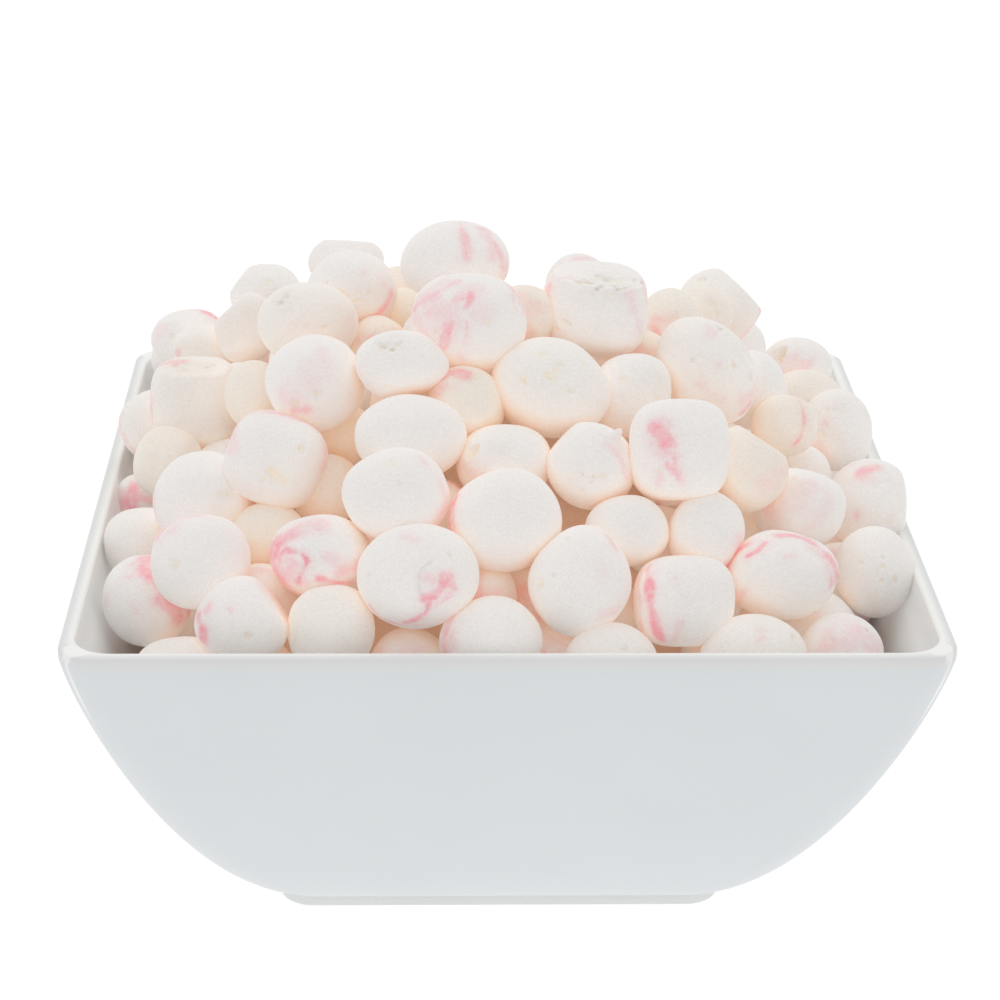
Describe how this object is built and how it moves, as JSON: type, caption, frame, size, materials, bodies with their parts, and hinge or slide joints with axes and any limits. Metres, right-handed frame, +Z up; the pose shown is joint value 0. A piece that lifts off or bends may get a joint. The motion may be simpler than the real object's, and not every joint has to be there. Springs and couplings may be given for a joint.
{
  "type": "bowl of freeze-dried taffy",
  "caption": "Square white porcelain serving bowl heaped above its rim with small round puffed freeze-dried taffy, white with soft pink streaks.",
  "frame": {"origin": "centre of the foot's underside, on the table", "axes": "+Z up out of the bowl's mouth, -Y towards the front of the heap as it is shown, +X to the right seen from the front"},
  "size_m": [0.21, 0.21, 0.1671],
  "materials": {
    "porcelain": "gloss",
    "puffed_sugar": "matte, finely powdery"
  },
  "bodies": {
    "root": {"bowl": "porcelain", "taffy_heap": "puffed_sugar"}
  },
  "joints": []
}
